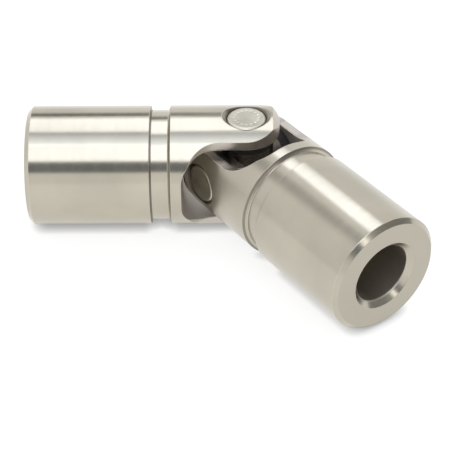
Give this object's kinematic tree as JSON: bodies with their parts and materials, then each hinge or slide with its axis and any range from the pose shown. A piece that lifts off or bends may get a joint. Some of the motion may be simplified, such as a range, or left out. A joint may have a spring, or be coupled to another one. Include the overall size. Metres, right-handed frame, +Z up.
{
  "type": "universal joint",
  "caption": "Single universal joint: forked round hubs with blind bores and boot grooves, hinged on a cross in needle bearings, passing rotation between shafts at an angle.",
  "frame": {"origin": "on the driving bore's axis, where the bore's straight wall begins just inside its mouth chamfer", "axes": "+X runs from the driving hub's mouth towards the joint centre, +Z is up along the pin axis of the driving fork's ears, and the driven hub is bent towards -Y in the XY plane; the joint lies on both hubs, with the floor at z = -9.525 mm"},
  "size_m": [0.0622, 0.0429, 0.019],
  "materials": {
    "hub_steel": "fine turned stainless, bright satin",
    "cross_steel": "ground and oiled",
    "cup_steel": "smooth drawn, bright",
    "needle_steel": "polished",
    "seal_rubber": "matte black"
  },
  "bodies": {
    "driving_hub": {"driving_fork": "hub_steel", "bearing_cup_upper": "cup_steel", "bearing_cup_lower": "cup_steel"},
    "cross_set": {"cross": "cross_steel", "needles_upper": "needle_steel", "needles_lower": "needle_steel", "needles_near": "needle_steel", "needles_far": "needle_steel", "seal_upper": "seal_rubber", "seal_lower": "seal_rubber", "seal_near": "seal_rubber", "seal_far": "seal_rubber"},
    "driven_hub": {"driven_fork": "hub_steel", "bearing_cup_near": "cup_steel", "bearing_cup_far": "cup_steel"}
  },
  "joints": [
    {"name": "driving_pivot", "type": "hinge", "parent": "driving_hub", "child": "cross_set", "pos_m": [0.0338, 0, 0], "axis": [0, 0, 1], "range_deg": [0, 109]},
    {"name": "driven_pivot", "type": "hinge", "parent": "cross_set", "child": "driven_hub", "pos_m": [0.0338, 0, 0], "axis": [0.8141, 0.5807, 0], "range_deg": [-22, 22]}
  ]
}
